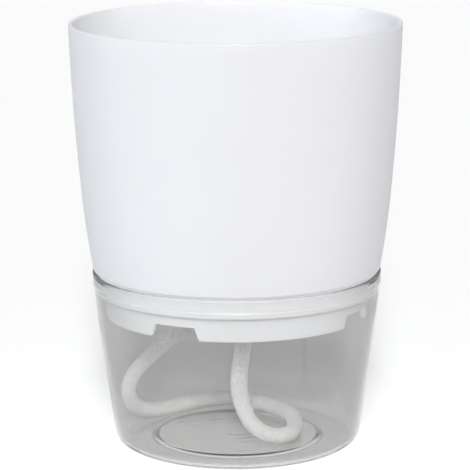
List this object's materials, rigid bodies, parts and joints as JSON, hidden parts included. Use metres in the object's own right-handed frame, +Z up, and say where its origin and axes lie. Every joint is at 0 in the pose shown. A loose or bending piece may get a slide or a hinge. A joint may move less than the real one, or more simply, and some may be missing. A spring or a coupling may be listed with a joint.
{
  "type": "self-watering pot",
  "caption": "Round tapered white planter that plugs into a clear water reservoir cup, with a looped cotton rope wick drawing water up through its floor.",
  "frame": {"origin": "centre of the flat ring that the reservoir stands on", "axes": "+Z up along the pot's round axis, -Y towards the front that the picture shows"},
  "size_m": [0.1282, 0.1282, 0.1655],
  "materials": {
    "white_plastic": "satin",
    "clear_plastic": "clear",
    "cotton": "braided cotton"
  },
  "bodies": {
    "reservoir": {"reservoir": "clear_plastic"},
    "planter": {"planter": "white_plastic", "wick": "cotton"}
  },
  "joints": [
    {"name": "planter_lift", "type": "slide", "parent": "reservoir", "child": "planter", "axis": [0, 0, 1], "range_m": [0, 0.08]}
  ]
}
